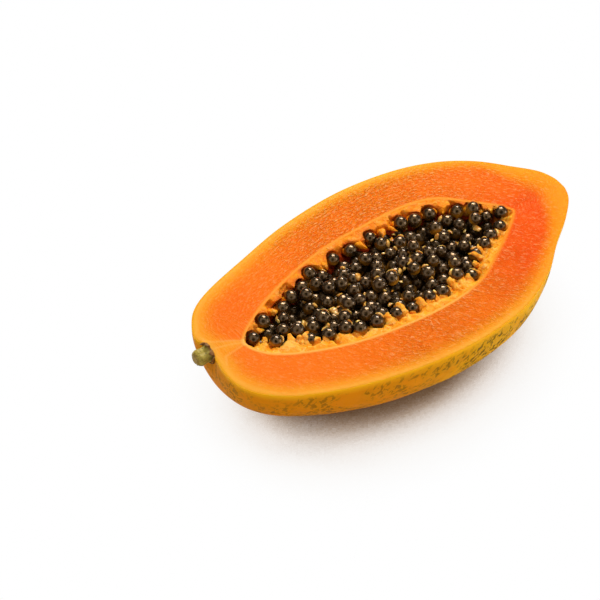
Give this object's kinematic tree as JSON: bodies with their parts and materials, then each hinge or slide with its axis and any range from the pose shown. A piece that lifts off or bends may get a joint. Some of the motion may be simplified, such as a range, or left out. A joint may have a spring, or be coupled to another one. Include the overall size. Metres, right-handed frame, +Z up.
{
  "type": "halved papaya",
  "caption": "Ripe papaya half, cut lengthwise and lying on its rounded back, with dark round seeds heaped in its hollow and a short stalk stub.",
  "frame": {"origin": "middle of the small flat spot on the rounded back, on the surface that the half rests on", "axes": "+X along the fruit from the stalk end to the blossom end, +Z up and square to the level cut face"},
  "size_m": [0.2176, 0.1199, 0.0623],
  "materials": {
    "flesh_and_skin": "moist cut flesh inside a thin waxy skin",
    "seeds": "wet, clear-coated and shiny",
    "stalk": "dry and ridged"
  },
  "bodies": {
    "root": {"half_fruit": "flesh_and_skin", "seed_mass": "seeds", "stalk_stub": "stalk"}
  },
  "joints": []
}
